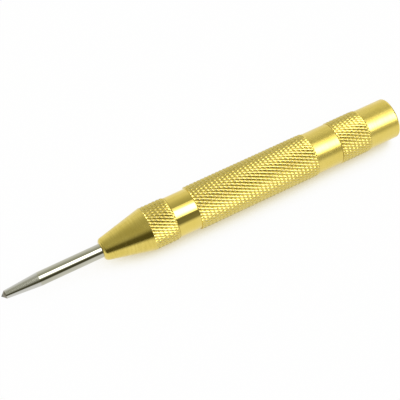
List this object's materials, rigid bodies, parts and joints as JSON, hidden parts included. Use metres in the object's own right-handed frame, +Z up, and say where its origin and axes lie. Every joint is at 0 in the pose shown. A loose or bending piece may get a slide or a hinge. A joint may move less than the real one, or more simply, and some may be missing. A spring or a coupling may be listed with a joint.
{
  "type": "automatic center punch",
  "caption": "Pocket-size automatic center punch: steel point in a brass nose, knurled brass barrel with sprung hammer inside, and a screw tail cap that sets the blow.",
  "frame": {"origin": "on the surface that the tool lies on, under the middle of its length", "axes": "+X along the tool from the point to the tail, +Z up, +Y across it"},
  "size_m": [0.1272, 0.0134, 0.0135],
  "materials": {
    "punch_point": "hardened, ground and polished",
    "nose_cone": "fine turned, knurled ring",
    "barrel": "satin, diamond knurled grip",
    "tail_cap": "satin, knurled ring",
    "trip_pin": "turned and hardened",
    "hammer": "turned",
    "main_spring": "drawn spring wire",
    "return_spring": "drawn spring wire",
    "spring_seat": "turned"
  },
  "bodies": {
    "barrel": {"barrel": "barrel", "nose_cone": "nose_cone", "main_spring": "main_spring", "return_spring": "return_spring"},
    "punch": {"punch_point": "punch_point"},
    "trip_pin": {"trip_pin": "trip_pin"},
    "hammer": {"hammer": "hammer"},
    "spring_seat": {"spring_seat": "spring_seat"},
    "tail_cap": {"tail_cap": "tail_cap"}
  },
  "joints": [
    {"name": "point_press", "type": "slide", "parent": "barrel", "child": "punch", "axis": [1, 0, 0], "range_m": [0, 0.0095], "stiffness_N_per_m": 400, "springref_m": -0.004, "deforming": ["return_spring"]},
    {"name": "pin_tilt", "type": "hinge", "parent": "punch", "child": "trip_pin", "pos_m": [-0.01903, 0, 0.00674], "axis": [0, -1, 0], "range_deg": [0, 2]},
    {"name": "hammer_slide", "type": "slide", "parent": "barrel", "child": "hammer", "axis": [1, 0, 0], "range_m": [0, 0.0095], "stiffness_N_per_m": 1500, "deforming": ["main_spring"]},
    {"name": "cap_advance", "type": "slide", "parent": "barrel", "child": "spring_seat", "axis": [1, 0, 0], "range_m": [0, 0.004], "deforming": ["main_spring"]},
    {"name": "cap_turn", "type": "hinge", "parent": "spring_seat", "child": "tail_cap", "pos_m": [0.04353, 0, 0.00674], "axis": [1, 0, 0], "range_deg": [0, 1440]}
  ],
  "couplings": [
    {"joint": "hammer_slide", "follows": "point_press", "ratio": 1},
    {"joint": "pin_tilt", "follows": "point_press", "rad_per_m": 3.67},
    {"joint": "cap_advance", "follows": "cap_turn", "m_per_rad": 0.000159}
  ]
}
